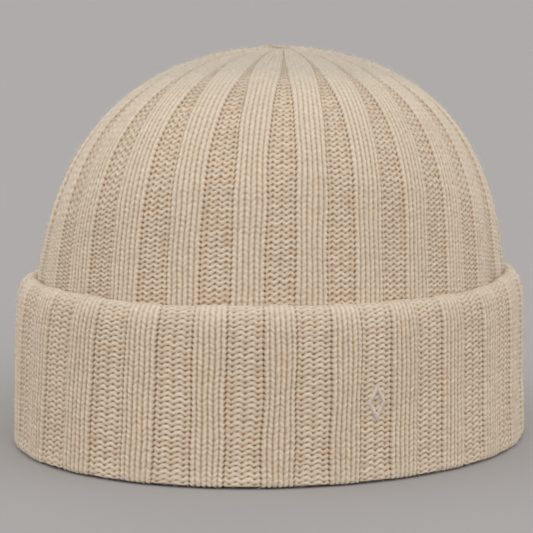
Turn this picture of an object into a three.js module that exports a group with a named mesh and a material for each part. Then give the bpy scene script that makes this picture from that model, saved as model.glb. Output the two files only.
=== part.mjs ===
// A ribbed cashmere beanie with a turned-up cuff, in millimetres with +Z up.
// It stands on the fold at the cuff's bottom, and the wearer would look along -Y.
import * as THREE from "three";

// Ribbing: pairs of a wide and a narrow rib, three wales each, which run on from the crown to the cuff.
const RIB_PAIRS = 26;
const WIDE_RIB_SHARE = 0.525; // of a pair's width
const RIB_FLANK_SHARE = 0.03; // half of the slope between two ribs, as a share of a pair
const RIB_DEPTH = 1.0;

// Cuff, measured over the crests of its ribs.
const CUFF_HALF_WIDTH = 91.4;
const CUFF_HALF_DEPTH = 112.0;
const CUFF_TOP = 63.2;
const FOLD_THICKNESS = 2.6;

// Crown. Its wall stands inside the cuff, and its tip lies behind the middle and a little to one side.
const CROWN_INSET = 5.9; // from the cuff's outer oval to the crown's, at the bottom
const CROWN_HALF_WIDTH = CUFF_HALF_WIDTH - CROWN_INSET;
const CROWN_HALF_DEPTH = CUFF_HALF_DEPTH - CROWN_INSET;
const CROWN_TOP = 148.0;
const CROWN_WALL = 2.8;
const CROWN_FALL = 2.18; // a higher power makes the top flatter
// A higher power makes the shoulder squarer. It is highest at the forehead, lower at the back of the
// head and lowest at the two sides between them, and the same all round where the wall starts.
const WALL_SHOULDER = 3.5;
const FULL_SHOULDER_REACH = 0.94;
const SHOULDER = 4.39;
const SHOULDER_TO_FRONT = 0.6;
const SHOULDER_TO_SIDES = 0.95;
const FOREHEAD_ANGLE = 0.757; // from -Y towards +X
const TIP_X = -14.0;
const TIP_Y = 26.0;
const GAP = 0.3; // between two pieces

// Motif: a lozenge outline sewn on the purl rib to the wearer's left of the front.
const MOTIF_RIB = 4; // counted from the front towards +X
const MOTIF_HEIGHT = 28.5;
const MOTIF_HALF_WIDTH = 3.9;
const MOTIF_HALF_HEIGHT = 6.6;
const MOTIF_BAND = 1.5;
const MOTIF_THICKNESS = 1.0;

// Way round the oval
// Ribs are evenly spaced along the cuff's edge, so the edge is walked in small steps of angle.
const WALK_STEPS = 1440;

function ovalPlan(angle, halfWidth, halfDepth) {
  return new THREE.Vector2(halfWidth * Math.sin(angle), -halfDepth * Math.cos(angle));
}

function walkOval() {
  const lengths = [0];
  let last = ovalPlan(0, CUFF_HALF_WIDTH, CUFF_HALF_DEPTH);
  for (let step = 1; step <= WALK_STEPS; step++) {
    const angle = (step / WALK_STEPS) * 2 * Math.PI;
    const next = ovalPlan(angle, CUFF_HALF_WIDTH, CUFF_HALF_DEPTH);
    lengths.push(lengths[step - 1] + next.distanceTo(last));
    last = next;
  }
  return lengths;
}

const walked = walkOval();

// The oval's angle at a share of the way round, counted from the front towards +X.
function angleAt(share) {
  const wrapped = share - Math.floor(share);
  const target = wrapped * walked[WALK_STEPS];
  const after = walked.findIndex((length) => length > target);
  const part = (target - walked[after - 1]) / (walked[after] - walked[after - 1]);
  return ((after - 1 + part) / WALK_STEPS) * 2 * Math.PI;
}

// Stations are the four edges of each rib pair. The wide rib is centred on the pair's own share of
// the way round; narrowing shrinks the narrow rib where the crown is gathered in.
function makeStations(narrowShare) {
  const wideHalf = (1 - narrowShare) / 2;
  const flank = Math.min(RIB_FLANK_SHARE, narrowShare / 3);
  const edges = [
    { shift: -wideHalf + flank, inWideRib: true },
    { shift: wideHalf - flank, inWideRib: true },
    { shift: wideHalf + flank, inWideRib: false },
    { shift: 1 - wideHalf - flank, inWideRib: false },
  ];
  const stations = [];
  for (let pair = 0; pair < RIB_PAIRS; pair++) {
    for (const edge of edges) {
      stations.push({
        angle: angleAt((pair + edge.shift) / RIB_PAIRS),
        inWideRib: edge.inWideRib,
      });
    }
  }
  return stations;
}

// Closed meshes
// Rings have one point for each station. With tips the mesh is a closed bag that starts and ends in
// a point; without tips the last ring joins the first.
function meshFromRings(rings, firstTip, lastTip) {
  const around = rings[0].length;
  const points = rings.flat();
  const faces = [];
  const ringPairs = firstTip ? rings.length - 1 : rings.length;
  for (let ring = 0; ring < ringPairs; ring++) {
    const below = ring * around;
    const above = ((ring + 1) % rings.length) * around;
    for (let i = 0; i < around; i++) {
      const j = (i + 1) % around;
      faces.push(below + i, below + j, above + j);
      faces.push(below + i, above + j, above + i);
    }
  }
  if (firstTip) {
    const start = points.push(firstTip) - 1;
    const end = points.push(lastTip) - 1;
    const lastRing = (rings.length - 1) * around;
    for (let i = 0; i < around; i++) {
      const j = (i + 1) % around;
      faces.push(start, j, i);
      faces.push(end, lastRing + i, lastRing + j);
    }
  }
  const geometry = new THREE.BufferGeometry().setFromPoints(points);
  geometry.setIndex(faces);
  geometry.computeVertexNormals();
  return geometry;
}

function namedMesh(name, geometry, colour, roughness) {
  const material = new THREE.MeshStandardMaterial({ color: colour, roughness, metalness: 0 });
  const mesh = new THREE.Mesh(geometry, material);
  mesh.name = name;
  return mesh;
}

// Cuff
// Inset is the distance inside the cuff's outer oval, and relief the share of the rib depth that the
// face follows. The rows go up the outer leaf, over the soft top edge and down the hidden leaf, back
// up between the leaves, and down to the bottom fold, which reaches in under the crown's wall.
const cuffRows = [
  { inset: 0.9, height: 0, relief: 1 },
  { inset: 0.2, height: 1.4, relief: 1 },
  { inset: 0, height: 6, relief: 1 },
  { inset: 0, height: 34, relief: 1 },
  { inset: 0.4, height: 50, relief: 1 },
  { inset: 1.2, height: 57.2, relief: 0.8 },
  { inset: 2.6, height: 61.6, relief: 0.5 },
  { inset: 4.6, height: CUFF_TOP, relief: 0.2 },
  { inset: 6.3, height: 61.8, relief: 0 },
  { inset: 6.8, height: 58.4, relief: 0 },
  { inset: 6.2, height: 50, relief: 0 },
  { inset: 5.4, height: 22, relief: 0 },
  { inset: 3.5, height: 22, relief: 0 },
  { inset: 3.9, height: 52, relief: 0 },
  { inset: 4.1, height: 59.2, relief: 0 },
  { inset: 2.6, height: 53, relief: 1 },
  { inset: 2.2, height: 22, relief: 1 },
  { inset: 2.4, height: FOLD_THICKNESS, relief: 0.6 },
  { inset: 8.4, height: FOLD_THICKNESS, relief: 0 },
  { inset: 8.9, height: 1.4, relief: 0 },
  { inset: 7.9, height: 0, relief: 0 },
];

// Directions along and out of the cuff's edge, in plan.
function cuffDirections(angle) {
  const along = new THREE.Vector3(
    CUFF_HALF_WIDTH * Math.cos(angle),
    CUFF_HALF_DEPTH * Math.sin(angle),
    0,
  ).normalize();
  const outward = new THREE.Vector3(along.y, -along.x, 0);
  return { along, outward };
}

function cuffPoint(angle, inset, height) {
  const plan = ovalPlan(angle, CUFF_HALF_WIDTH, CUFF_HALF_DEPTH);
  const { outward } = cuffDirections(angle);
  return new THREE.Vector3(plan.x, plan.y, height).addScaledVector(outward, -inset);
}

// On the cuff the cloth shows its other side, so the wide rib is the sunken one.
function makeCuff() {
  const stations = makeStations(1 - WIDE_RIB_SHARE);
  const rings = cuffRows.map((row) =>
    stations.map((station) => {
      const sunk = station.inWideRib ? RIB_DEPTH * row.relief : 0;
      return cuffPoint(station.angle, row.inset + sunk, row.height);
    }),
  );
  return meshFromRings(rings);
}

// Crown
// Sections are ovals that shrink from the bottom (reach 1) to the tip (reach 0). Relief is the share
// of the rib depth, and narrow the share of a rib pair that its sunken rib takes.
const crownRows = [
  { reach: 1.0, relief: 0.3, narrow: 0.475 },
  { reach: 0.9955, relief: 0.3, narrow: 0.475 },
  { reach: 0.974, relief: 0.8, narrow: 0.475 },
  { reach: 0.935, relief: 1, narrow: 0.475 },
  { reach: 0.88, relief: 1, narrow: 0.467 },
  { reach: 0.8, relief: 1, narrow: 0.45 },
  { reach: 0.7, relief: 1, narrow: 0.42 },
  { reach: 0.59, relief: 1, narrow: 0.365 },
  { reach: 0.47, relief: 1, narrow: 0.23 },
  { reach: 0.34, relief: 0.9, narrow: 0.15 },
  { reach: 0.21, relief: 0.8, narrow: 0.13 },
  { reach: 0.1, relief: 0.5, narrow: 0.13 },
];
const WALL_BOTTOM = FOLD_THICKNESS + GAP;
const TIP_SINK = 1.4; // the gathered tip dips a little below the cloth round it

function crownHeight(angle, reach) {
  const turn = angle - FOREHEAD_ANGLE;
  const fullShoulder =
    SHOULDER + SHOULDER_TO_FRONT * Math.cos(turn) + SHOULDER_TO_SIDES * Math.cos(2 * turn);
  const part = Math.min(1, (1 - reach) / (1 - FULL_SHOULDER_REACH));
  const shoulder = WALL_SHOULDER + (fullShoulder - WALL_SHOULDER) * part;
  return CROWN_TOP * (1 - reach ** CROWN_FALL) ** (1 / shoulder);
}

// In plan a rib runs straight from the bottom oval to the tip. The point is where that line crosses
// the section's oval, whose middle moves to the tip as the section shrinks.
function crownPoint(angle, reach) {
  const tip = new THREE.Vector2(TIP_X, TIP_Y);
  const way = ovalPlan(angle, CROWN_HALF_WIDTH, CROWN_HALF_DEPTH).sub(tip);
  const halfWidth = CROWN_HALF_WIDTH * reach;
  const halfDepth = CROWN_HALF_DEPTH * reach;
  const offMiddle = tip.clone().multiplyScalar(1 - (1 - reach) ** 2);
  const a = (way.x / halfWidth) ** 2 + (way.y / halfDepth) ** 2;
  const b = (offMiddle.x * way.x) / halfWidth ** 2 + (offMiddle.y * way.y) / halfDepth ** 2;
  const c = (offMiddle.x / halfWidth) ** 2 + (offMiddle.y / halfDepth) ** 2 - 1;
  const share = (-b + Math.sqrt(b * b - a * c)) / a;
  const plan = tip.addScaledVector(way, share);
  return new THREE.Vector3(plan.x, plan.y, crownHeight(angle, reach));
}

// Direction out of the crown's smooth surface, from two short steps along it.
function crownOutward(angle, reach) {
  const step = 1e-3;
  const here = crownPoint(angle, reach - step);
  const along = crownPoint(angle + step, reach - step).sub(here);
  const upward = crownPoint(angle, reach - 2 * step).sub(here);
  return along.cross(upward).normalize();
}

function crownRing(row, depth) {
  return makeStations(row.narrow).map((station) => {
    const sunk = station.inWideRib ? 0 : RIB_DEPTH * row.relief;
    const point = crownPoint(station.angle, row.reach);
    point.addScaledVector(crownOutward(station.angle, row.reach), -sunk - depth);
    if (row.reach === 1) point.z = WALL_BOTTOM;
    return point;
  });
}

function makeCrown() {
  const outer = crownRows.map((row) => crownRing(row, 0));
  const inner = crownRows.map((row) => crownRing(row, CROWN_WALL));
  const outerTip = new THREE.Vector3(TIP_X, TIP_Y, CROWN_TOP - TIP_SINK);
  const innerTip = new THREE.Vector3(TIP_X, TIP_Y, CROWN_TOP - TIP_SINK - CROWN_WALL);
  const rings = [...inner.reverse(), ...outer];
  return meshFromRings(rings, innerTip, outerTip);
}

// Motif
function lozenge(path, halfWidth, halfHeight) {
  path.moveTo(halfWidth, 0);
  path.lineTo(0, halfHeight);
  path.lineTo(-halfWidth, 0);
  path.lineTo(0, -halfHeight);
  path.closePath();
  return path;
}

function makeMotif() {
  const shape = lozenge(new THREE.Shape(), MOTIF_HALF_WIDTH, MOTIF_HALF_HEIGHT);
  const innerWidth = MOTIF_HALF_WIDTH - MOTIF_BAND;
  const innerHeight = (MOTIF_HALF_HEIGHT * innerWidth) / MOTIF_HALF_WIDTH;
  shape.holes.push(lozenge(new THREE.Path(), innerWidth, innerHeight));
  return new THREE.ExtrudeGeometry(shape, { depth: MOTIF_THICKNESS, bevelEnabled: false });
}

// The motif lies on the floor of its sunken rib, with its back turned to the cloth.
function placeMotif(mesh) {
  const angle = angleAt(MOTIF_RIB / RIB_PAIRS);
  const { along, outward } = cuffDirections(angle);
  mesh.position.copy(cuffPoint(angle, RIB_DEPTH - GAP, MOTIF_HEIGHT));
  const up = new THREE.Vector3(0, 0, 1);
  mesh.quaternion.setFromRotationMatrix(new THREE.Matrix4().makeBasis(along, up, outward));
}

// Assembly
const YARN_COLOUR = "#d9ccb6";
const THREAD_COLOUR = "#e3d3c6";

const beanie = new THREE.Group();
beanie.name = "beanie";
beanie.add(namedMesh("crown", makeCrown(), YARN_COLOUR, 0.95));
beanie.add(namedMesh("cuff", makeCuff(), YARN_COLOUR, 0.95));
const motif = namedMesh("stitched_motif", makeMotif(), THREAD_COLOUR, 0.7);
placeMotif(motif);
beanie.add(motif);

export default beanie;
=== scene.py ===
import math

import bpy
import numpy as np
from mathutils import Matrix, Vector


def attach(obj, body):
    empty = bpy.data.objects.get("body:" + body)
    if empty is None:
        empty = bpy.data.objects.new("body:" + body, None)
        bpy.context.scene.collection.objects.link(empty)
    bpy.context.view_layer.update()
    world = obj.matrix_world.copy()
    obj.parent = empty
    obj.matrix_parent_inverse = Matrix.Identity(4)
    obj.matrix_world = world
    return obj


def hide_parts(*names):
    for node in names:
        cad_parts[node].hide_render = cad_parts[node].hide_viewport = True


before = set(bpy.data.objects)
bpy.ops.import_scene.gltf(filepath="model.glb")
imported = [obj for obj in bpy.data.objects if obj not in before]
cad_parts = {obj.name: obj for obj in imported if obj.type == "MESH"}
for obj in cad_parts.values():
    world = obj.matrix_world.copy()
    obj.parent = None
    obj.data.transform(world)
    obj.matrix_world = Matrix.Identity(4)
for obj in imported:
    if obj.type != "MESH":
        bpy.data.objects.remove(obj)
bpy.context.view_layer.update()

# Plain ribs of the crown
# The hat is one tube of cashmere rib, knitted round and round in three plain and three purl wales.
# These are the raised ribs of its dome. They take over the whole width near the top, lose wales
# there, and are drawn together at the tip. Lengths are in millimetres until a mesh is made.
MILLIMETRE = 0.001
RIB_PAIRS = 26
CUFF_HALF_WIDTH = 91.4
CUFF_HALF_DEPTH = 112.0
CROWN_INSET = 5.9
CROWN_HALF_WIDTH = CUFF_HALF_WIDTH - CROWN_INSET
CROWN_HALF_DEPTH = CUFF_HALF_DEPTH - CROWN_INSET
CROWN_TOP = 148.0
CROWN_FALL = 2.18
WALL_SHOULDER = 3.5
FULL_SHOULDER_REACH = 0.94
SHOULDER = 4.39
ONE_SIDE_FULLER = 0.6
BOTH_SIDES_FULLER = 0.95
FULLEST_ANGLE = 0.757
TIP = np.array([-14.0, 26.0])

walk_angles = np.linspace(0, 2 * np.pi, 1441)


def oval_point(angle, half_width, half_depth):
    return np.stack([half_width * np.sin(angle), -half_depth * np.cos(angle)], -1)


walk_steps = np.diff(oval_point(walk_angles, CUFF_HALF_WIDTH, CUFF_HALF_DEPTH), axis=0)
walked = np.concatenate([[0], np.cumsum(np.linalg.norm(walk_steps, axis=1))])
girth = walked[-1]


def angle_at(share):
    """The oval's angle at a share of the way round it, counted from the front towards +X."""
    whole = np.floor(share)
    return np.interp((share - whole) * girth, walked, walk_angles) + 2 * np.pi * whole


def crown_height(angle, reach):
    """The dome's outline is a superellipse. It is fullest to the wearer's front and left, less so
    opposite, and least of all between the two."""
    turn = angle - FULLEST_ANGLE
    full = SHOULDER + ONE_SIDE_FULLER * np.cos(turn) + BOTH_SIDES_FULLER * np.cos(2 * turn)
    part = np.minimum(1, (1 - reach) / (1 - FULL_SHOULDER_REACH))
    shoulder = WALL_SHOULDER + (full - WALL_SHOULDER) * part
    return CROWN_TOP * np.maximum(0, 1 - reach**CROWN_FALL) ** (1 / shoulder)


def crown_section(share, reach):
    """Where a rib line meets a section of the dome. Reach is 1 at the bottom and 0 at the tip.

    A rib line runs straight out from the tip in plan, and a section is an oval whose middle moves
    towards the tip higher up. The place is the root of a quadratic.
    """
    share, reach = np.broadcast_arrays(share, reach)
    angle = angle_at(share)
    way = oval_point(angle, CROWN_HALF_WIDTH, CROWN_HALF_DEPTH) - TIP
    half = np.stack([CROWN_HALF_WIDTH * reach, CROWN_HALF_DEPTH * reach], -1)
    off_middle = TIP * (1 - (1 - reach) ** 2)[..., None]
    a = ((way / half) ** 2).sum(-1)
    b = (off_middle * way / half**2).sum(-1)
    c = ((off_middle / half) ** 2).sum(-1) - 1
    plan = TIP + way * ((-b + np.sqrt(b * b - a * c)) / a)[..., None]
    return np.concatenate([plan, crown_height(angle, reach)[..., None]], -1)


# Height of a course by reach, on the rib line that faces the camera: the top is stretched more.
course_heights = np.array([
    # reach, height of a course
    (0.00, 2.80),
    (0.70, 2.80),
    (0.76, 2.66),
    (0.815, 2.50),
    (0.855, 2.26),
    (0.90, 2.18),
    (0.93, 2.19),
    (0.945, 2.08),
    (0.955, 1.98),
    (1.00, 2.02),
])
FIRST_REACH = 0.9907
LAST_REACH = 0.001
FACING_SHARE = 2.5 / RIB_PAIRS
reaches = np.linspace(FIRST_REACH, LAST_REACH, 4000)
facing_line = crown_section(FACING_SHARE, reaches)
facing_steps = np.linalg.norm(np.diff(facing_line, axis=0), axis=1)
step_heights = np.interp(reaches[1:], *course_heights.T)
climbs = np.concatenate([[0], np.cumsum(facing_steps / step_heights)])
climbs *= round(climbs[-1]) / climbs[-1]
last_climb = climbs[-1]
BEFORE_STEP = 2e-4  # the cloth runs on a little past both ends, by so much reach a course
BEYOND_STEP = 1e-4
MOST_BEYOND = 2


def reach_at(climb):
    """Climb counts courses from the first one, which lies hidden behind the turn-up."""
    before = np.minimum(climb, 0) * BEFORE_STEP
    beyond = np.clip(climb - last_climb, 0, MOST_BEYOND) * BEYOND_STEP
    return np.interp(climb, climbs, reaches) - before - beyond


def climb_at(reach):
    return float(np.interp(-reach, -reaches, climbs))


def hump(value, middle, half_width):
    """1 in the middle, falling softly to 0 on both sides."""
    return np.exp(-(((value - middle) / half_width) ** 2))


GATHER_SWELL = TIP + np.array([-4.3, -2.5])  # the cloth is bunched up to one side of the tip
GATHER_SWELL_RISE = 1.1
GATHER_SWELL_RADIUS = 3.6


def crown_face(share, climb):
    points = crown_section(share, reach_at(climb))
    from_swell = np.linalg.norm(points[..., :2] - GATHER_SWELL, axis=-1)
    points[..., 2] += GATHER_SWELL_RISE * hump(from_swell, 0, GATHER_SWELL_RADIUS)
    return points


ALONG_STEP = 1e-4  # small ways along and up the cloth, to find which way it faces
UP_STEP = 0.05


def sunk_points(face, side, share, climb, depth):
    """Points that lie a depth below a face. Side is 1 if the courses climb up the hat, or -1."""
    here = face(share, climb)
    along = face(share + ALONG_STEP, climb) - face(share - ALONG_STEP, climb)
    up = face(share, climb + UP_STEP) - face(share, climb - UP_STEP)
    out = np.cross(along, up) * side
    out /= np.linalg.norm(out, axis=-1, keepdims=True)
    return here - out * depth[..., None]


WAVES = 14
WAVE_HEIGHT = 0.25
TURN_STEP = 3  # a wave turns a whole multiple of this many times on its way round the hat
MOST_STEPS = 9
MOST_PACE = 0.5  # radians a course
wobble_rng = np.random.default_rng(11)
wobble_waves = [
    (
        wobble_rng.integers(-MOST_STEPS, MOST_STEPS + 1, WAVES),
        wobble_rng.uniform(-MOST_PACE, MOST_PACE, WAVES),
        wobble_rng.uniform(0, 6.28, WAVES),
    )
    for _ in ("along", "up")
]


def wobble(which, share, climb):
    """A slow, uneven wave over the cloth, from about -1 to 1, that closes on itself all round."""
    waves = [
        np.sin(2 * np.pi * turns * share * TURN_STEP + pace * climb + phase)
        for turns, pace, phase in zip(*wobble_waves[which])
    ]
    return np.sum(waves, axis=0) * WAVE_HEIGHT


# A stitch is six columns of points. Each column has a groove under the course and three points
# over its yarn. Rise lifts the column in courses, yarn and groove are heights as shares of YARN,
# and spread is how wide the yarn lies. A plain stitch is a V.
YARN = 1.0  # from the crest of a strand to the bottom of the hole beside it
YARN_ROUND = np.array([0.0, 0.82, 1.0, 0.82])  # the groove, then across the yarn
COURSE_ROWS = len(YARN_ROUND)
PLAIN_STITCH = [
    # rise, yarn, groove, spread
    (0.30, 0.36, 0.14, 1.00),
    (0.20, 0.94, 0.68, 1.05),
    (-0.08, 1.00, 0.72, 1.05),
    (-0.30, 0.40, 0.18, 1.00),
    (-0.08, 1.00, 0.72, 1.05),
    (0.20, 0.94, 0.68, 1.05),
]
PLAIN_UNEVEN = 0.5
EDGE_YARN = 0.62  # where a rib meets the next, the yarn goes to the other side of the cloth
EDGE_GROOVE = -0.5
SIDE_FALL_POWER = 2.5
TUCK = 0.25  # in courses: a row of stitches is tucked under the next where wales are dropped
# Painted shade: tucked rows and the deepest holes between strands are coloured darker.
TUCK_PIT_SHADE = 0.75
DEEPEST_PIT = 1.5

# How much stitches differ: in courses, as a share of the way round, or as a share of their height.
SHIFT_UP = 0.14
SHIFT_ASIDE = 0.00022
WAVER_UP = 0.15
WAVER_ASIDE = 0.0004
GROOVE_DIFFERS = 0.22
YARN_DIFFERS = 0.16
PIT_DIFFERS = 0.07
MOST_COURSES = 130  # random numbers are drawn for so many


def knit_ribs(
    stitch, uneven, wales, centre, face, side, first, last, ribs_at, seed, tuck_start, tuck_end
):
    """Points and painted pit shade of all the ribs of one kind, from course first to course last,
    as rows by ribs by columns. The pit shade darkens the yarn's colour in the grooves and holes
    between strands, where shade falls. ribs_at(climb) gives the rib's share of a pair, its depth,
    how much lower its sides are, the depth of the crease beside it, how full the yarn stands and
    how much painted shade it carries."""
    columns = len(stitch) * wales + 1
    rise, yarn, groove, spread = np.array([stitch[k % len(stitch)] for k in range(columns)]).T
    way = np.linspace(0, 1, columns)
    inner = np.ones(columns)
    inner[[0, -1]] = 0
    rise = rise * inner
    yarn = np.where(inner, yarn, EDGE_YARN)
    groove = np.where(inner, groove, EDGE_GROOVE)
    spread = np.where(inner, spread, 1.0)
    wale = np.minimum(np.arange(columns) // len(stitch), wales - 1)
    pair = np.arange(RIB_PAIRS)[None, :, None]
    rng = np.random.default_rng(seed)
    shape = (MOST_COURSES, RIB_PAIRS, wales)
    loose, deep, shift, aside = (uneven * rng.uniform(-1, 1, shape) for _ in range(4))

    steps = np.arange(COURSE_ROWS * (last - first) + 1)[:, None, None]
    course = first + steps // COURSE_ROWS
    step = steps % COURSE_ROWS
    which = (course, pair, wale[None, None, :])
    level = np.ones(steps.shape)
    if tuck_start:
        level = np.minimum(level, steps)
    if tuck_end:
        level = np.minimum(level, steps.max() - steps)
    tucked = level == 0
    lift = np.where(step == 0, 0.0, 0.5 + (step / COURSE_ROWS - 0.5) * spread)
    climb = course + lift + rise * level + SHIFT_UP * shift[which] * inner * level
    climb = climb + np.where(tucked, np.where(steps == 0, -TUCK, TUCK), 0.0)

    share_of_pair, sink, fall, crease, full, painted_shade = ribs_at(climb)
    share = (pair + centre + (way - 0.5) * share_of_pair) / RIB_PAIRS
    share = share + SHIFT_ASIDE * aside[which] * inner
    share = share + WAVER_ASIDE * wobble(0, share, climb)
    climb = climb + WAVER_UP * wobble(1, share, climb)

    groove_height = groove + GROOVE_DIFFERS * deep[which] * inner
    height = np.where(step == 0, groove_height, yarn * YARN_ROUND[step])
    height = height * (1 + YARN_DIFFERS * loose[which] * inner)
    height = np.where(tucked, 0.0, height)
    depth = sink + fall * np.abs(2 * way - 1) ** SIDE_FALL_POWER
    depth = np.where(inner, depth, crease) + YARN * full * (1 - height)
    # Painted shade: the deeper a point lies between strands, the darker its colour, and tucked rows
    # are darker still.
    pit_shades = np.clip(1 - height, 0, DEEPEST_PIT) * full
    pit_shades = np.where(tucked & (inner > 0), TUCK_PIT_SHADE * full, pit_shades)
    pit_shades = pit_shades + painted_shade + PIT_DIFFERS * deep[which] * inner
    return sunk_points(face, side, share, climb, depth), pit_shades


STRIP_FILLS = 0.96  # of its place in the surface map, so that strips don't touch there


def cloth_object(name, points, pit_shades, side, material, painted_top_shade=0.0):
    """A mesh of strips, given as rows by strips by columns of points, with a map for each face and
    the painted shade of its pits and of the top at each point.
    """
    rows, strips, columns = points.shape[:3]
    at = np.arange(rows * strips * columns).reshape(rows, strips, columns)
    corners = [at[:-1, :, :-1], at[:-1, :, 1:], at[1:, :, 1:], at[1:, :, :-1]]
    if side == -1:
        corners.reverse()
    faces = np.stack(corners, -1).reshape(-1)
    mesh = bpy.data.meshes.new(name)
    mesh.vertices.add(at.size)
    mesh.vertices.foreach_set("co", (points.reshape(-1) * MILLIMETRE).astype(np.float32))
    mesh.loops.add(faces.size)
    mesh.loops.foreach_set("vertex_index", faces.astype(np.int32))
    mesh.polygons.add(faces.size // 4)
    mesh.polygons.foreach_set("loop_start", np.arange(0, faces.size, 4, dtype=np.int32))
    mesh.polygons.foreach_set("use_smooth", np.ones(faces.size // 4, bool))
    mesh.update(calc_edges=True)
    u = (np.arange(strips)[:, None] + STRIP_FILLS * np.linspace(0, 1, columns)) / strips
    u, v = np.broadcast_arrays(u[None], np.linspace(0, 1, rows)[:, None, None])
    uv = np.stack([u.reshape(-1)[faces], v.reshape(-1)[faces]], -1)
    mesh.uv_layers.new(name="OFBake").data.foreach_set("uv", uv.reshape(-1).astype(np.float32))
    for attribute, values in (("pit_shade", pit_shades), ("painted_top_shade", painted_top_shade)):
        numbers = np.broadcast_to(values, at.shape).reshape(-1).astype(np.float32)
        mesh.attributes.new(attribute, "FLOAT", "POINT").data.foreach_set("value", numbers)
    mesh.materials.append(material)
    piece = bpy.data.objects.new(name, mesh)
    bpy.context.scene.collection.objects.link(piece)
    return piece


LUMP_HEIGHT = 1.2  # against the height of the hairs


def make_spun_fibre():
    """The look of spun cashmere: fine hairs, small lumps of the yarn and the dye's slow change. It
    goes from the crest colour to a painted shade colour between strands by the pit shade, and is
    darker by painted shade near the top."""
    group = bpy.data.node_groups.new("spun fibre", "ShaderNodeTree")
    sockets = (
        ("Crest", "NodeSocketColor", (0.8, 0.7, 0.58, 1)),
        ("Painted Shade", "NodeSocketColor", (0.6, 0.45, 0.3, 1)),
        ("Pit Shade", "NodeSocketFloat", 0.0),
        ("Painted Top Shade", "NodeSocketFloat", 0.0),
        ("Fibre Size", "NodeSocketFloat", 1.0),
    )
    for name, kind, value in sockets:
        group.interface.new_socket(name, in_out="INPUT", socket_type=kind).default_value = value
    for name, kind in (("Colour", "Color"), ("Roughness", "Float"), ("Height", "Float")):
        group.interface.new_socket(name, in_out="OUTPUT", socket_type="NodeSocket" + kind)
    nodes, links = group.nodes, group.links
    given, made = nodes.new("NodeGroupInput"), nodes.new("NodeGroupOutput")
    place = nodes.new("ShaderNodeTexCoord")

    def noise(scale, detail):
        divided = nodes.new("ShaderNodeMath")
        divided.operation = "DIVIDE"
        divided.inputs[0].default_value = scale
        links.new(given.outputs["Fibre Size"], divided.inputs[1])
        node = nodes.new("ShaderNodeTexNoise")
        links.new(divided.outputs[0], node.inputs["Scale"])
        links.new(place.outputs["Object"], node.inputs["Vector"])
        node.inputs["Detail"].default_value = detail
        return node.outputs["Fac"]

    def ranged(value, low, high, to_low, to_high, smooth=False):
        node = nodes.new("ShaderNodeMapRange")
        if smooth:
            node.interpolation_type = "SMOOTHSTEP"
        for socket, number in zip(node.inputs[1:5], (low, high, to_low, to_high)):
            socket.default_value = number
        links.new(value, node.inputs[0])
        return node.outputs[0]

    def reckoned(operation, first, second):
        node = nodes.new("ShaderNodeMath")
        node.operation = operation
        links.new(first, node.inputs[0])
        links.new(second, node.inputs[1])
        return node.outputs[0]

    def mixed(kind, factor, first, second):
        node = nodes.new("ShaderNodeMix")
        node.data_type = "RGBA"
        node.blend_type = kind
        node.inputs[0].default_value = 1.0
        if factor is not None:
            links.new(factor, node.inputs[0])
        links.new(first, node.inputs[6])
        links.new(second, node.inputs[7])
        return node.outputs[2]

    hairs = noise(scale=2600, detail=3)
    lumps = noise(scale=520, detail=2)
    dye = noise(scale=26, detail=2)
    # Painted shade: the colour goes from the crest colour to the painted shade colour by how deep
    # the yarn lies between strands.
    mottled = reckoned("ADD", given.outputs["Pit Shade"], ranged(hairs, 0.2, 0.8, -0.26, 0.26))
    depth = ranged(mottled, 0.02, 1.0, 0.0, 1.0, smooth=True)
    colour = mixed("MIX", depth, given.outputs["Crest"], given.outputs["Painted Shade"])
    hair_light = ranged(hairs, 0.25, 0.75, 0.78, 1.22)
    lump_light = ranged(lumps, 0.3, 0.7, 0.94, 1.06)
    dye_light = ranged(dye, 0.3, 0.7, 0.97, 1.03)
    # Painted shade: the yarn is darker near the top of the crown.
    top_shade_light = ranged(given.outputs["Painted Top Shade"], 0.0, 1.0, 1.0, 0.76)
    light = reckoned("MULTIPLY", hair_light, lump_light)
    light = reckoned("MULTIPLY", light, dye_light)
    light = reckoned("MULTIPLY", light, top_shade_light)
    grey = nodes.new("ShaderNodeCombineColor")
    for socket in grey.inputs[:3]:
        links.new(light, socket)
    links.new(mixed("MULTIPLY", None, colour, grey.outputs[0]), made.inputs["Colour"])
    links.new(ranged(hairs, 0.3, 0.7, 0.82, 1.0), made.inputs["Roughness"])
    height = nodes.new("ShaderNodeMath")
    height.operation = "MULTIPLY_ADD"
    links.new(lumps, height.inputs[0])
    height.inputs[1].default_value = LUMP_HEIGHT
    links.new(hairs, height.inputs[2])
    links.new(height.outputs[0], made.inputs["Height"])
    return group


spun_fibre = make_spun_fibre()
BUMP_HEIGHT = 0.2 * MILLIMETRE


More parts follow.
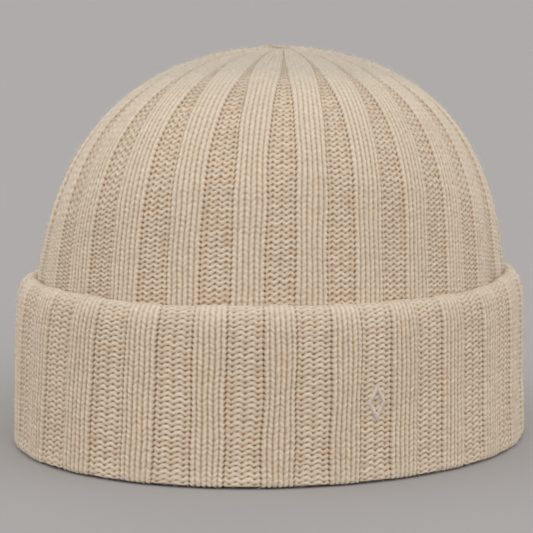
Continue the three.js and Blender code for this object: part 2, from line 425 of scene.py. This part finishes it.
def yarn_material(name, crest, between, fibre_size, bump, sheen):
    material = bpy.data.materials.new(name)
    material.use_nodes = True
    nodes, links = material.node_tree.nodes, material.node_tree.links
    shader = nodes["Principled BSDF"]
    fibre = nodes.new("ShaderNodeGroup")
    fibre.node_tree = spun_fibre
    fibre.inputs["Crest"].default_value = (*crest, 1)
    # Between is the colour of the painted shade in the grooves and holes between strands.
    fibre.inputs["Painted Shade"].default_value = (*between, 1)
    fibre.inputs["Fibre Size"].default_value = fibre_size
    for attribute, socket in (("pit_shade", "Pit Shade"), ("painted_top_shade", "Painted Top Shade")):
        values = nodes.new("ShaderNodeAttribute")
        values.attribute_name = attribute
        links.new(values.outputs["Fac"], fibre.inputs[socket])
    raised = nodes.new("ShaderNodeBump")
    raised.inputs["Strength"].default_value = bump
    raised.inputs["Distance"].default_value = BUMP_HEIGHT
    links.new(fibre.outputs["Height"], raised.inputs["Height"])
    links.new(fibre.outputs["Colour"], shader.inputs["Base Color"])
    links.new(fibre.outputs["Roughness"], shader.inputs["Roughness"])
    links.new(raised.outputs["Normal"], shader.inputs["Normal"])
    shader.inputs["Specular IOR Level"].default_value = 0.15
    shader.inputs["Sheen Weight"].default_value = sheen
    shader.inputs["Sheen Roughness"].default_value = 0.35
    shader.inputs["Sheen Tint"].default_value = (1.0, 0.9, 0.79, 1)
    return material


cream_yarn = yarn_material(
    "cream cashmere",
    crest=(0.715, 0.621, 0.50),
    # painted shade: the warm brown that the holes between strands are coloured
    between=(0.375, 0.21, 0.085),
    fibre_size=1.0,
    bump=0.9,
    sheen=0.35,
)

# How the ribs change up the dome.
dome_ribs = np.array([
    # reach, purl rib's share of a pair, its depth, fall of a plain rib's sides, crease, how full,
    # painted shade of the purl rib, darkest part way up the dome
    (0.00, 0.000, 0.3, 0.2, 0.3, 0.25, 0.00),
    (0.10, 0.004, 0.3, 0.3, 0.4, 0.27, 0.00),
    (0.20, 0.008, 0.4, 0.4, 0.6, 0.30, 0.02),
    (0.30, 0.035, 0.5, 0.5, 0.7, 0.36, 0.08),
    (0.40, 0.090, 0.7, 0.5, 0.8, 0.42, 0.16),
    (0.50, 0.165, 0.8, 0.5, 0.8, 0.52, 0.16),
    (0.57, 0.230, 0.9, 0.5, 0.8, 0.65, 0.10),
    (0.62, 0.300, 1.1, 0.4, 0.7, 0.85, 0.10),
    (0.73, 0.404, 1.0, 0.3, 0.6, 1.00, 0.00),
    (0.89, 0.450, 1.0, 0.3, 0.6, 1.00, 0.00),
    (0.96, 0.472, 1.0, 0.3, 0.6, 1.00, 0.00),
    (1.00, 0.475, 0.9, 0.3, 0.6, 1.00, 0.00),
])


def dome_rib_at(climb):
    reach = reach_at(climb)
    return [np.interp(reach, dome_ribs[:, 0], dome_ribs[:, k]) for k in range(1, 7)]


# Painted shade in the sink at the tip.
TIP_SINK_SHADE = 0.4


def plain_dome_rib_at(climb):
    """The ribs flatten upwards, carry painted shade over the top and in the sink at the tip, and
    are pulled in at the very tip.
    """
    purl_share, _, fall, crease, full, _ = dome_rib_at(climb)
    reach = reach_at(climb)
    tip_sink = np.interp(reach, [0.0, 0.02, 0.05, 0.1], [1.7, 1.2, 0.4, 0.0])
    full = full * np.interp(reach, [0.5, 0.75, 0.95], [0.66, 0.80, 0.97])
    painted_shade = tip_sink * TIP_SINK_SHADE + np.interp(reach, [0.1, 0.3, 0.5], [0.26, 0.20, 0.0])
    return 1 - purl_share, tip_sink, fall, crease + tip_sink, full, painted_shade


def top_shade_at(first, last):
    """The cloth is drawn together near the tip, and painted shade makes its colour darker
    there.
    """
    rows = np.arange(COURSE_ROWS * (last - first) + 1)[:, None, None]
    climb = first + rows / COURSE_ROWS
    return np.interp(reach_at(climb), [0.1, 0.25, 0.5, 0.58, 0.7], [0.85, 0.97, 1.0, 0.5, 0.0])


PARTING_COURSE = 33  # the long ribs are two pieces, to keep each of them light
TWO_WALES_REACH = 0.30
ONE_WALE_REACH = 0.16
two_wales_course = round(climb_at(TWO_WALES_REACH))
one_wale_course = round(climb_at(ONE_WALE_REACH))
plain_parts = [
    # name, wales, seed, first and last course, tucked in at its start and end
    ("crown_plain_ribs_1", 3, 23, 0, PARTING_COURSE, False, False),
    ("crown_plain_ribs_2", 3, 23, PARTING_COURSE, two_wales_course, False, True),
    ("crown_plain_gather_1", 2, 22, two_wales_course, one_wale_course, True, True),
    ("crown_plain_gather_2", 1, 21, one_wale_course, round(last_climb), True, False),
]
for name, wales, seed, first, last, tuck_start, tuck_end in plain_parts:
    points, pit_shades = knit_ribs(
        PLAIN_STITCH, PLAIN_UNEVEN, wales, 0.0, crown_face, 1, first, last,
        plain_dome_rib_at, seed, tuck_start, tuck_end,
    )
    piece = cloth_object(name, points, pit_shades, 1, cream_yarn, top_shade_at(first, last))
    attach(piece, "root")
    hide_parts("crown")

# Purl ribs of the crown
# The sunk ribs between the plain ones, where the yarn's loops lie across the face. They are
# decreased away below the tip: three wales, then two, then one that runs to a point.
PURL_STITCH = [
    # rise, yarn, groove, spread: a bowl, then an arch
    (-0.24, 1.04, -0.10, 1.10),
    (-0.17, 0.98, 0.62, 1.00),
    (0.09, 0.88, 0.60, 0.95),
    (0.27, 0.92, -0.22, 0.85),
    (0.12, 0.90, 0.57, 0.95),
    (-0.14, 1.00, 0.63, 1.00),
]
PURL_UNEVEN = 0.55
PURL_SHADE = 0.14  # less light gets to them than to the raised ribs
PURL_TWO_WALES_REACH = 0.747
PURL_ONE_WALE_REACH = 0.60
PURL_END_REACH = 0.14
purl_two_wales_course = round(climb_at(PURL_TWO_WALES_REACH))
purl_one_wale_course = round(climb_at(PURL_ONE_WALE_REACH))
purl_last_course = round(climb_at(PURL_END_REACH))
purl_parts = [
    # name, wales, seed, first and last course, tucked in at its start and end
    ("crown_purl_ribs", 3, 28, 0, purl_two_wales_course, False, True),
    ("crown_purl_gather_1", 2, 27, purl_two_wales_course, purl_one_wale_course, True, True),
    ("crown_purl_gather_2", 1, 26, purl_one_wale_course, purl_last_course, True, False),
]


def purl_dome_rib_at(climb):
    purl_share, sink, _, crease, full, painted_shade = dome_rib_at(climb)
    full = full * np.interp(reach_at(climb), [0.35, 0.6, 0.7], [0.5, 0.75, 1.0])
    return purl_share, sink, 0.0, crease, full, painted_shade + PURL_SHADE


for name, wales, seed, first, last, tuck_start, tuck_end in purl_parts:
    points, pit_shades = knit_ribs(
        PURL_STITCH, PURL_UNEVEN, wales, 0.5, crown_face, 1, first, last,
        purl_dome_rib_at, seed, tuck_start, tuck_end,
    )
    piece = cloth_object(name, points, pit_shades, 1, cream_yarn, top_shade_at(first, last))
    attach(piece, "root")
    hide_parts("crown")

# Inside of the crown
# The cloth's other side, round the head, and the stretch of wall that is hidden behind the turn-up.
# It is one plain face that runs down the hidden wall, round its edge and up the inside to the tip.
CROWN_WALL = 2.8
WALL_BOTTOM = 2.9
LINING_COLUMNS = 8  # in a pair of ribs
LINING_SWELL = 0.35
# Painted shade over the inside faces, which lie out of the light.
INSIDE_SHADE = 0.35
wall_reach = (1 - (WALL_BOTTOM / CROWN_TOP) ** WALL_SHOULDER) ** (1 / CROWN_FALL)
lining_rows = [
    # reach, depth below the knitted face
    (0.9895, 1.7),
    (0.992, 1.2),
    (0.996, 0.9),
    (wall_reach, 0.9),
    (wall_reach, CROWN_WALL),
]
wall_reaches = (0.996, 0.992, 0.985, 0.975, 0.96, 0.94, 0.91, 0.88, 0.84, 0.8)
dome_reaches = np.linspace(0.75, 0.02, 22)
lining_rows += [(reach, CROWN_WALL) for reach in (*wall_reaches, *dome_reaches)]
lining_reach, lining_depth = np.array(lining_rows).T[:, :, None, None]
lining_share = np.linspace(0, 1, RIB_PAIRS * LINING_COLUMNS + 1)[None, None, :]
rib_swell = LINING_SWELL * np.cos(2 * np.pi * RIB_PAIRS * lining_share)
lining_depth = lining_depth + rib_swell * (lining_depth == CROWN_WALL)
lining_share, lining_reach = np.broadcast_arrays(lining_share, lining_reach)


LINING_STEP = 0.01


def lining_face(share, climb):
    """Here a climb is a hundredth of the way from a row to the tip."""
    return crown_section(share, lining_reach - climb * LINING_STEP * lining_reach)


no_climb = np.zeros(lining_share.shape)
lining_points = sunk_points(lining_face, 1, lining_share, no_climb, lining_depth)
lining = cloth_object("crown_inside", lining_points, INSIDE_SHADE, -1, cream_yarn)
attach(lining, "root")
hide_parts("crown")

# Turn-up
# The tube's edge is turned up outside the crown, so its reverse shows: purl where the crown is
# plain. It was knitted downwards as it now lies, from the soft edge at its top to the bottom fold.
CUFF_WIDE_SHARE = 0.525
CUFF_COURSE = 1.955
CUFF_PROUD = 0.4  # how far the crests stand out from the fitted oval
# Painted shade on the turn-up's plain and purl ribs.
CUFF_PLAIN_SHADE = 0.03
CUFF_PURL_SHADE = PURL_SHADE * 0.8
cuff_path = np.array([
    # inset, height: from behind the soft edge, over it, down the leaf and under the fold
    (8.4, 56.0),
    (8.6, 60.5),
    (7.5, 63.4),
    (5.2, 63.5),
    (3.0, 62.0),
    (1.5, 58.8),
    (0.6, 53.5),
    (0.2, 46.0),
    (0.0, 36.0),
    (0.0, 22.0),
    (0.0, 6.0),
    (0.0, 2.8),
    (0.15, 1.3),
    (0.9, 0.85),
    (2.4, 0.62),
    (4.4, 0.32),
    (6.4, 0.3),
    (8.4, 0.5),
])


def rounded(path, rounds):
    """The path with its corners cut again and again."""
    for _ in range(rounds):
        low = path[:-1] * 0.75 + path[1:] * 0.25
        high = path[:-1] * 0.25 + path[1:] * 0.75
        middle = np.stack([low, high], 1).reshape(-1, path.shape[1])
        path = np.concatenate([path[:1], middle, path[-1:]])
    return path


cuff_line = rounded(cuff_path, 4)
cuff_steps = np.linalg.norm(np.diff(cuff_line, axis=0), axis=1)
cuff_lengths = np.concatenate([[0], np.cumsum(cuff_steps)])
cuff_end = cuff_lengths[-1]

LOW_SWELL = 1.6
LOW_SWELL_HEIGHT = 22
LOW_SWELL_ANGLE = 1.75
LOW_SWELL_TURN = 0.75
EDGE_FROM = 40  # above this height the cloth follows the waves of the soft edge
EDGE_RISE = 20
edge_waves = [
    # how far the soft edge lies lower, waves all round, where they start
    (0.5, 1, np.pi / 2 - 0.6),
    (0.25, 5, 1.0),
    (0.2, 9, 0.0),
]
edge_dips = [
    # how far the soft edge lies lower, at which angle, half width of the dip
    (0.9, 5.24, 0.4),
    (-1.1, 2.1, 0.5),
]


def cuff_at(share, inset, height):
    """A point on the turn-up. Its soft edge waves, and it swells low down on one side."""
    share, inset, height = np.broadcast_arrays(share, inset, height)
    angle = angle_at(share)
    plan = oval_point(angle, CUFF_HALF_WIDTH, CUFF_HALF_DEPTH)
    along = np.stack([CUFF_HALF_WIDTH * np.cos(angle), CUFF_HALF_DEPTH * np.sin(angle)], -1)
    along /= np.linalg.norm(along, axis=-1, keepdims=True)
    outward = np.stack([along[..., 1], -along[..., 0]], -1)
    swell = hump(height, 0, LOW_SWELL_HEIGHT) * hump(angle, LOW_SWELL_ANGLE, LOW_SWELL_TURN)
    plan = plan + outward * (LOW_SWELL * swell - inset)[..., None]
    dip = sum(deep * np.sin(waves * angle + start) for deep, waves, start in edge_waves)
    dip = dip + sum(deep * hump(angle, middle, turn) for deep, middle, turn in edge_dips)
    z = height - dip * np.clip((height - EDGE_FROM) / EDGE_RISE, 0, 1)
    return np.concatenate([plan, z[..., None]], -1)


# The ribs don't hang quite upright. They are drawn aside at two places and lean at a third.
LEAN_HEIGHT = 60
rib_drifts = [
    # middle and half width as shares of the way round, drift, whether it grows downwards
    (-0.10, 0.05, -0.004, False),
    (0.29, 0.06, 0.008, False),
    (-0.08, 0.09, -0.007, True),
]


def cuff_face(share, climb):
    length = climb * CUFF_COURSE
    inset = np.interp(length, cuff_lengths, cuff_line[:, 0])
    height = np.interp(length, cuff_lengths, cuff_line[:, 1])
    from_front = (share + 0.5) % 1 - 0.5
    lowness = np.clip(1 - height / LEAN_HEIGHT, 0, 1)
    for middle, half_width, drift, leaning in rib_drifts:
        amount = drift * hump(from_front, middle, half_width)
        share = share + (amount * lowness if leaning else amount)
    return cuff_at(share, inset, height)


cuff_ribs = np.array([
    # length down the path, purl rib's depth, fall of a plain rib's sides, crease, how full
    (0, 0.1, 0.0, 0.1, 0.3),
    (5, 0.2, 0.1, 0.1, 0.4),
    (9, 0.4, 0.2, 0.3, 0.5),
    (14, 0.9, 0.3, 0.5, 0.8),
    (19, 1.0, 0.3, 0.6, 1.0),
    (cuff_end - 14, 1.0, 0.3, 0.6, 1.0),
    (cuff_end - 9, 0.3, 0.1, 0.2, 0.75),
    (cuff_end - 6, 0.2, 0.0, 0.1, 0.6),
    (cuff_end, 0.0, 0.0, 0.1, 0.5),
])


def cuff_rib_at(climb):
    length = climb * CUFF_COURSE
    return [np.interp(length, cuff_ribs[:, 0], cuff_ribs[:, k]) for k in range(1, 5)]


def plain_cuff_rib_at(climb):
    _, fall, crease, full = cuff_rib_at(climb)
    return 1 - CUFF_WIDE_SHARE, -CUFF_PROUD * full, fall, crease, full, CUFF_PLAIN_SHADE


def purl_cuff_rib_at(climb):
    sink, _, crease, full = cuff_rib_at(climb)
    return CUFF_WIDE_SHARE, sink - CUFF_PROUD * full, 0.0, crease, full, CUFF_PURL_SHADE


cuff_last = int(cuff_end / CUFF_COURSE)
cuff_kinds = [
    ("cuff_plain_ribs", PLAIN_STITCH, PLAIN_UNEVEN, 0.5, plain_cuff_rib_at, 31),
    ("cuff_purl_ribs", PURL_STITCH, PURL_UNEVEN, 0.0, purl_cuff_rib_at, 32),
]
for name, stitch, uneven, centre, ribs_at, seed in cuff_kinds:
    points, pit_shades = knit_ribs(
        stitch, uneven, 3, centre, cuff_face, -1, 1, cuff_last, ribs_at, seed, False, False
    )
    piece = cloth_object(name, points, pit_shades, -1, cream_yarn)
    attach(piece, "root")
    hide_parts("cuff")

# Inside of the turn-up
# The leaf turned in behind the soft edge and the cloth's other side between it and the crown. No
# light reaches most of it, so it is one plain face.
HIDDEN_COLUMNS = 4  # in a pair of ribs
hidden_path = np.array([
    # inset, height: down the inner leaf, up behind it, down again to the fold and along that
    (6.9, 56.5),
    (6.2, 50),
    (5.4, 22),
    (3.5, 22),
    (3.9, 52),
    (4.1, 59),
    (2.6, 53),
    (2.4, 22),
    (2.4, 2.6),
    (8.4, 2.6),
    (8.9, 1.4),
    (8.2, 0.7),
    (6.6, 1.2),
])
hidden_share = np.linspace(0, 1, RIB_PAIRS * HIDDEN_COLUMNS + 1)[None, None, :]
hidden_points = cuff_at(hidden_share, *hidden_path.T[:, :, None, None])
hidden_leaf = cloth_object("cuff_inside", hidden_points, INSIDE_SHADE, 1, cream_yarn)
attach(hidden_leaf, "root")
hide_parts("cuff")

# Stitched motif
# A small lozenge in satin stitch on one purl rib of the turn-up: pale thread laid side by side
# across the band, over and over, and pulled tight at both ends.
MOTIF_RIB = 4
MOTIF_HEIGHT = 28.5
MOTIF_HALF_WIDTH = 3.9
MOTIF_HALF_HEIGHT = 6.6
MOTIF_BAND = 1.5
MOTIF_BASE = 0.9
MOTIF_THICKNESS = 1.1
THREADS_A_SIDE = 30
ROWS_A_THREAD = 4
THREAD_UNEVEN = 0.036  # of the lozenge's size, at both ends of a thread
THREAD_PIT_SHADE = 2.5
thread_round = np.array([0.72, 0.93, 1.0, 0.93])
across_band = np.array([0, 0.07, 0.22, 0.5, 0.78, 0.93, 1.0])
band_arch = np.array([0, 0.55, 0.88, 1.0, 0.88, 0.55, 0])

motif_corners = np.array([(0, 1), (1, 0), (0, -1), (-1, 0), (0, 1)])
motif_sides = len(motif_corners) - 1
motif_row = np.arange(motif_sides * THREADS_A_SIDE * ROWS_A_THREAD + 1)
motif_way = motif_row / (THREADS_A_SIDE * ROWS_A_THREAD)
motif_side = np.minimum(motif_way.astype(int), motif_sides - 1)
side_part = (motif_way - motif_side)[:, None]
side_start, side_end = motif_corners[motif_side], motif_corners[motif_side + 1]
on_line = side_start * (1 - side_part) + side_end * side_part

slant = math.hypot(MOTIF_HALF_WIDTH, MOTIF_HALF_HEIGHT) / (MOTIF_HALF_WIDTH * MOTIF_HALF_HEIGHT)
thread_number = motif_row // ROWS_A_THREAD
thread_rng = np.random.default_rng(41)
thread_ends = thread_rng.uniform(-1, 1, (thread_number.max() + 1, 2)) * THREAD_UNEVEN
outer_end, inner_end = thread_ends[thread_number].T[:, :, None]
to_outer = np.linspace(1, 0, len(across_band))
to_inner = np.linspace(0, 1, len(across_band))
size_at = 1 - MOTIF_BAND * slant * across_band[None, :]
size_at = size_at + to_outer * outer_end + to_inner * inner_end
motif_x = on_line[:, :1] * size_at * MOTIF_HALF_WIDTH
motif_y = on_line[:, 1:] * size_at * MOTIF_HALF_HEIGHT
row_round = thread_round[motif_row % ROWS_A_THREAD][:, None]
motif_rise = MOTIF_THICKNESS * band_arch[None, :] * row_round
motif_points = cuff_at(
    MOTIF_RIB / RIB_PAIRS + motif_x / girth, MOTIF_BASE - motif_rise, MOTIF_HEIGHT + motif_y
)
# Painted shade in the grooves between threads.
motif_pit_shades = ((1 - row_round) * THREAD_PIT_SHADE)[:, None]
pale_thread = yarn_material(
    "pale embroidery thread",
    crest=(0.76, 0.665, 0.60),
    # painted shade between the threads
    between=(0.55, 0.43, 0.35),
    fibre_size=0.5,
    bump=0.25,
    sheen=0.2,
)
motif = cloth_object("satin_lozenge", motif_points[:, None], motif_pit_shades, 1, pale_thread)
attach(motif, "root")
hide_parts("stitched_motif")

# Bloom
# Fine cashmere hairs that stand out of the spun yarn all over the hat and soften its outline. Each
# is a tapered sliver, bent once.
FIBRE_WIDTH = 0.085  # at its root
SHORTEST_FIBRE = 0.8
LONGEST_FIBRE = 2.4
ROOT_DEPTH = 0.15
LEAST_STAND = 0.1  # how far hairs stand off the cloth, from one that lies to one that is upright
MOST_STAND = 1.0
STAND_POWER = 1.3  # more of them lie than stand
ROOT_STAND = 0.7
MOST_BEND = 1.3  # radians to either side
TIP_DROOP = -0.5  # the outer half of a hair falls back or stands on, as a share of the inner half
TIP_RISE = 0.6
TWIST = 0.7
MIDDLE_WIDTH = 0.8  # of the width at the root
FLOOR_GAP = 0.05  # no hair goes lower than this
CROWN_FIBRES = 32000
CUFF_FIBRES = 27000
bloom_yarn = yarn_material(
    "cashmere bloom",
    crest=(0.72, 0.64, 0.54),
    between=(0.72, 0.64, 0.54),
    fibre_size=1.0,
    bump=0.0,
    sheen=0.3,
)


def bloom_object(name, count, seed, face, side, ribs_at, centre, places):
    rng = np.random.default_rng(seed)
    share = rng.uniform(0, 1, count)
    climb = places(rng, count)
    purl_share, sink = ribs_at(climb)[:2]
    from_purl = np.abs((share * RIB_PAIRS - centre + 0.5) % 1 - 0.5)
    root_depth = np.where(from_purl < purl_share / 2, sink, 0.0) + ROOT_DEPTH
    root = sunk_points(face, side, share, climb, root_depth)
    out = sunk_points(face, side, share, climb, root_depth - 1.0) - root
    along = face(share + ALONG_STEP, climb) - face(share - ALONG_STEP, climb)
    along /= np.linalg.norm(along, axis=1, keepdims=True)
    up = np.cross(out, along)
    turn = rng.uniform(0, 2 * np.pi, count)[:, None]
    stand = rng.uniform(LEAST_STAND, MOST_STAND, count)[:, None] ** STAND_POWER
    length = rng.uniform(SHORTEST_FIBRE, LONGEST_FIBRE, count)[:, None]
    way = along * np.cos(turn) + up * np.sin(turn)
    bend = turn + rng.uniform(-MOST_BEND, MOST_BEND, count)[:, None]
    later = along * np.cos(bend) + up * np.sin(bend)
    middle = root + (way * 0.5 + out * stand * ROOT_STAND) * length
    tip_stand = stand * rng.uniform(TIP_DROOP, TIP_RISE, count)[:, None]
    tip = middle + (later * 0.5 + out * tip_stand) * length
    broad = np.cross(way, out + rng.normal(0, TWIST, (count, 3)))
    broad *= FIBRE_WIDTH / 2 / np.linalg.norm(broad, axis=1, keepdims=True)
    narrow = broad * MIDDLE_WIDTH
    points = np.stack([root - broad, root + broad, middle + narrow, middle - narrow, tip], 1)
    points[..., 2] = np.maximum(points[..., 2], FLOOR_GAP)

    first = np.arange(count)[:, None, None] * 5
    faces = (first + np.array([[0, 1, 2], [0, 2, 3], [3, 2, 4]])).reshape(-1)
    mesh = bpy.data.meshes.new(name)
    mesh.vertices.add(count * 5)
    mesh.vertices.foreach_set("co", (points.reshape(-1) * MILLIMETRE).astype(np.float32))
    mesh.loops.add(faces.size)
    mesh.loops.foreach_set("vertex_index", faces.astype(np.int32))
    mesh.polygons.add(faces.size // 3)
    mesh.polygons.foreach_set("loop_start", np.arange(0, faces.size, 3, dtype=np.int32))
    mesh.update(calc_edges=True)
    cells = math.ceil(math.sqrt(count))
    cell = np.stack([np.arange(count) % cells, np.arange(count) // cells], -1)[:, None]
    in_cell = np.array([(0.1, 0.1), (0.9, 0.1), (0.9, 0.5), (0.1, 0.5), (0.5, 0.9)])
    uv = ((cell + in_cell) / cells).reshape(-1, 2)[faces]
    mesh.uv_layers.new(name="OFBake").data.foreach_set("uv", uv.reshape(-1).astype(np.float32))
    mesh.materials.append(bloom_yarn)
    piece = bpy.data.objects.new(name, mesh)
    bpy.context.scene.collection.objects.link(piece)
    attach(piece, "root")
    return piece


DOME_PLACES = 400
HALF_PLACE = 0.1
TIP_WEIGHT = 0.02  # so that the very tip has hairs too


def dome_places(rng, count):
    """Spread evenly over the cloth, which has less width the nearer the tip it is."""
    grid = np.linspace(1.0, last_climb - 1, DOME_PLACES)
    weights = reach_at(grid) + TIP_WEIGHT
    places = rng.choice(grid, count, p=weights / weights.sum())
    return places + rng.uniform(-HALF_PLACE, HALF_PLACE, count)


EDGE_COURSES = 1.5  # no hairs grow in the first courses behind the soft edge, or under the fold
FOLD_COURSES = 3.0


def cuff_places(rng, count):
    return rng.uniform(EDGE_COURSES, cuff_last - FOLD_COURSES, count)


crown_bloom = bloom_object(
    "crown_bloom", CROWN_FIBRES, 51, crown_face, 1, purl_dome_rib_at, 0.5, dome_places
)
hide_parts("crown")
cuff_bloom = bloom_object(
    "cuff_bloom", CUFF_FIBRES, 52, cuff_face, -1, purl_cuff_rib_at, 0.0, cuff_places
)
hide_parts("cuff")

# Room
# A pale floor that fills the frame, an even sky of soft light and four broad, soft lamps. The one
# in front is the brightest.
FLOOR_REACH = 60  # in metres, from its middle
floor_sides = [(-1, -1), (1, -1), (1, 1), (-1, 1)]
floor_corners = [(x * FLOOR_REACH, y * FLOOR_REACH, 0) for x, y in floor_sides]
floor_mesh = bpy.data.meshes.new("floor")
floor_mesh.from_pydata(floor_corners, [], [(0, 1, 2, 3)])
floor = bpy.data.objects.new("floor", floor_mesh)
bpy.context.scene.collection.objects.link(floor)
floor_material = bpy.data.materials.new("pale floor")
floor_material.use_nodes = True
floor_shader = floor_material.node_tree.nodes["Principled BSDF"]
floor_shader.inputs["Base Color"].default_value = (0.410, 0.3925, 0.387, 1)
floor_shader.inputs["Roughness"].default_value = 1.0
floor_shader.inputs["Specular IOR Level"].default_value = 0.0
floor_mesh.materials.append(floor_material)

SKY_LIGHT = 0.56
world = bpy.data.worlds.new("soft light")
bpy.context.scene.world = world
world.use_nodes = True
world.node_tree.nodes["Background"].inputs["Color"].default_value = (1, 1, 1, 1)
world.node_tree.nodes["Background"].inputs["Strength"].default_value = SKY_LIGHT

VIEW_AZIMUTH = math.radians(30.6)
lamps = [
    # name, turned from the view, height, energy, softness in degrees
    ("front lamp", 0.05, 0.68, 1.20, 50),
    ("left lamp", -1.35, 0.4, 0.80, 70),
    ("right lamp", 1.35, 0.4, 0.75, 70),
    ("back lamp", 3.1, 0.5, 0.5, 70),
]
for name, turned, height, energy, softness in lamps:
    lamp_data = bpy.data.lights.new(name, "SUN")
    lamp_data.energy = energy
    lamp_data.angle = math.radians(softness)
    lamp = bpy.data.objects.new(name, lamp_data)
    from_angle = VIEW_AZIMUTH + turned
    lamp_from = Vector((math.sin(from_angle), -math.cos(from_angle), height))
    lamp.rotation_euler = lamp_from.to_track_quat("Z", "Y").to_euler()
    bpy.context.scene.collection.objects.link(lamp)

# Camera
# It stands where the photo was taken from: low, to the wearer's left of the front. Its place is in
# metres, and its lens and pan come from the photo's pixels.
PHOTO_PX = 533
FOCAL_PX = 2350
PAN_PX = 9.2
CAMERA_OUT = 0.897
CAMERA_HEIGHT = 0.173
PITCH = math.radians(6.895)
ROLL = 0.0203
SENSOR = 36
camera_data = bpy.data.cameras.new("camera")
camera_data.sensor_width = SENSOR
camera_data.lens = FOCAL_PX / PHOTO_PX * SENSOR
camera_data.clip_end = 300
camera = bpy.data.objects.new("camera", camera_data)
bpy.context.scene.collection.objects.link(camera)
bpy.context.scene.camera = camera
toward = VIEW_AZIMUTH + math.atan(PAN_PX / FOCAL_PX)
right = Vector((math.cos(toward), math.sin(toward), 0))
forward = Vector((
    -math.sin(toward) * math.cos(PITCH),
    math.cos(toward) * math.cos(PITCH),
    -math.sin(PITCH),
))
up = right.cross(forward)
rolled_right = right * math.cos(ROLL) + up * math.sin(ROLL)
rolled_up = up * math.cos(ROLL) - right * math.sin(ROLL)
turn = Matrix((rolled_right, rolled_up, -forward)).transposed()
stand = (
    CAMERA_OUT * math.sin(VIEW_AZIMUTH),
    -CAMERA_OUT * math.cos(VIEW_AZIMUTH),
    CAMERA_HEIGHT,
)
camera.matrix_world = Matrix.Translation(stand) @ turn.to_4x4()

bpy.context.scene.view_settings.view_transform = "Standard"
